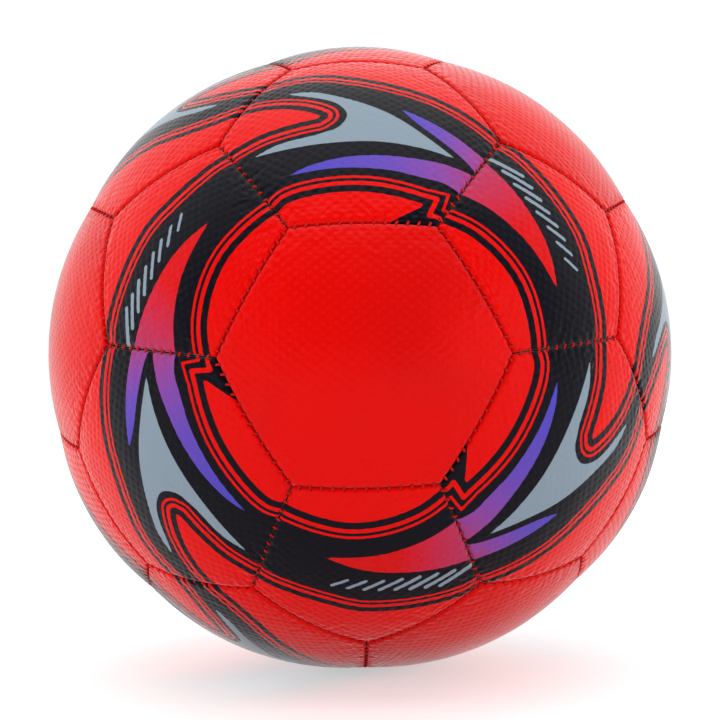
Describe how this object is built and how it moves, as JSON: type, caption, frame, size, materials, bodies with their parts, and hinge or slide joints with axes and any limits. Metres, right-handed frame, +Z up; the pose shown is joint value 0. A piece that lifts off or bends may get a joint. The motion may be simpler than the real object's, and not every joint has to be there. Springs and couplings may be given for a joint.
{
  "type": "soccer ball",
  "caption": "Stitched soccer ball of hexagon and pentagon panels over foam, cloth lining and a rubber bladder with a needle valve.",
  "frame": {"origin": "centre of the ball", "axes": "+Y out of the valve along the needle hole, -Y through the plain red hexagon opposite the valve, +Z up through a swirl hexagon of that hexagon's ring"},
  "size_m": [0.218, 0.2199, 0.2192],
  "materials": {
    "red_cover": "red PVC synthetic leather, embossed with fine dimples, satin",
    "printed_cover": "PVC synthetic leather printed with black, grey, red and violet bands, satin",
    "foam": "closed-cell foam pad",
    "lining_cloth": "laminated cotton and polyester lining cloth",
    "thread": "waxed polyester sewing thread",
    "bladder_rubber": "butyl rubber",
    "valve_rubber": "moulded butyl rubber, matt black"
  },
  "bodies": {
    "root": {"red_hexagon_1": "red_cover", "red_hexagon_2": "red_cover", "red_hexagon_3": "red_cover", "red_hexagon_4": "red_cover", "swirl_hexagon_1": "printed_cover", "swirl_hexagon_2": "printed_cover", "swirl_hexagon_3": "printed_cover", "swirl_hexagon_4": "printed_cover", "swirl_hexagon_5": "printed_cover", "swirl_hexagon_6": "printed_cover", "swirl_hexagon_7": "printed_cover", "swirl_hexagon_8": "printed_cover", "swirl_hexagon_9": "printed_cover", "swirl_hexagon_10": "printed_cover", "swirl_hexagon_11": "printed_cover", "swirl_hexagon_12": "printed_cover", "swirl_pentagon_1": "printed_cover", "swirl_pentagon_2": "printed_cover", "swirl_pentagon_3": "printed_cover", "swirl_pentagon_4": "printed_cover", "swirl_pentagon_5": "printed_cover", "swirl_pentagon_6": "printed_cover", "swirl_pentagon_7": "printed_cover", "swirl_pentagon_8": "printed_cover", "swirl_pentagon_9": "printed_cover", "swirl_pentagon_10": "printed_cover", "swirl_pentagon_11": "printed_cover", "swirl_pentagon_12": "printed_cover", "plain_hexagon_1": "red_cover", "plain_hexagon_2": "red_cover", "plain_hexagon_3": "red_cover", "valve_hexagon": "red_cover", "hexagon_foam_pads": "foam", "pentagon_foam_pads": "foam", "valve_foam_pad": "foam", "hexagon_linings": "lining_cloth", "pentagon_linings": "lining_cloth", "valve_lining": "lining_cloth", "hexagon_seam_threads": "thread", "pentagon_seam_threads": "thread", "bladder": "bladder_rubber", "valve_patch": "lining_cloth", "valve_housing": "valve_rubber", "valve_core": "valve_rubber"}
  },
  "joints": []
}
